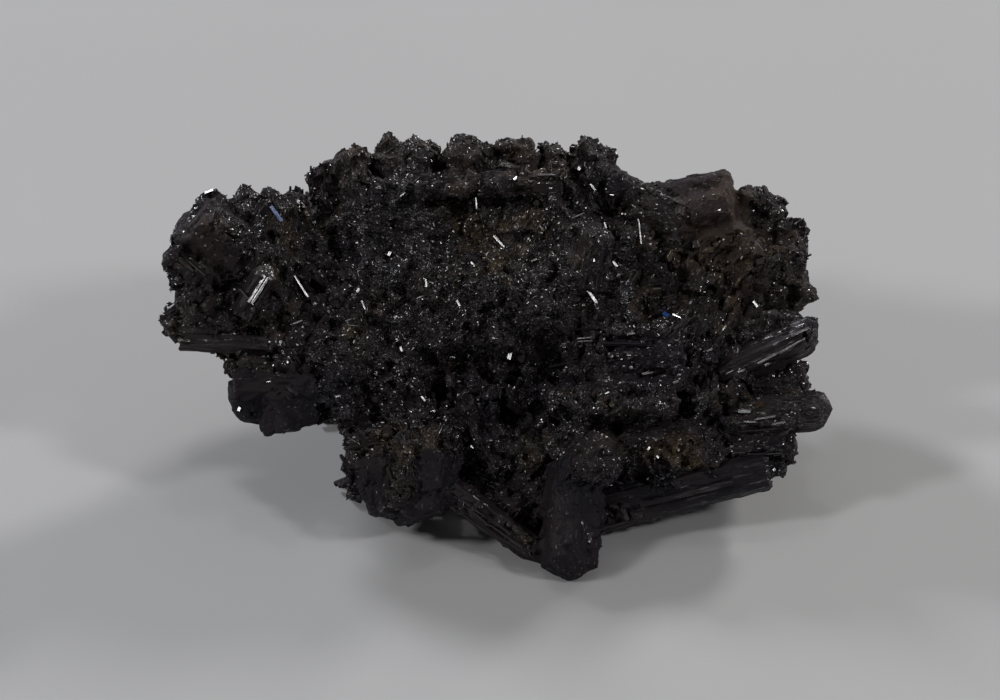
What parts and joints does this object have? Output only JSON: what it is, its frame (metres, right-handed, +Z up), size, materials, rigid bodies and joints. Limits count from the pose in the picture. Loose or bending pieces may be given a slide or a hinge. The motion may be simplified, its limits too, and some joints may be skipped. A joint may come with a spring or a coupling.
{
  "type": "schorl cluster",
  "caption": "Free-standing cluster of black schorl tourmaline: stubby and long striated prisms grown together into one lump with ledges, a ridge and a dark cavity.",
  "frame": {"origin": "centre of the cluster's footprint box, on the plane that it rests on", "axes": "+Z up; +X along the cluster's longest side, to the right as seen from its crystal-covered front; -Y out of the front, which slopes up and back at 52 degrees"},
  "size_m": [0.0805, 0.0524, 0.0373],
  "materials": {
    "schorl": "vitreous black crystal, striated along the prisms, with fine granular druse between them"
  },
  "bodies": {
    "root": {"schorl_cluster": "schorl"}
  },
  "joints": []
}
